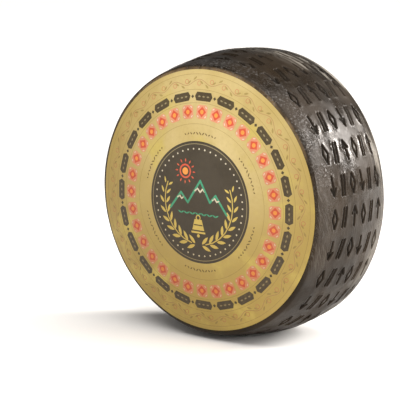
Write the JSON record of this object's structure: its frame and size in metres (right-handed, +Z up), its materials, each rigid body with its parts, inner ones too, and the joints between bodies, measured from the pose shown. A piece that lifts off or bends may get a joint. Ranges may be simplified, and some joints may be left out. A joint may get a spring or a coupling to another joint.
{
  "type": "asiago cheese wheel",
  "caption": "Whole round of hard cheese standing on its rim, with a dark waxed rind, rows of stamped marks round the rim and a round gold paper label on one face.",
  "frame": {"origin": "on the surface that the wheel stands on, under the middle of its outer box", "axes": "+Z up; the wheel's own axis lies along Y, and the labelled face looks towards -Y"},
  "size_m": [0.3288, 0.1632, 0.3321],
  "materials": {
    "rind": "dark brown-black waxed rind with a soft sheen, pits and fine scratches",
    "label_paper": "satin gold printed paper with a dark centre disc and rings of dark and red blocks"
  },
  "bodies": {
    "root": {"wheel": "rind", "label": "label_paper"}
  },
  "joints": []
}
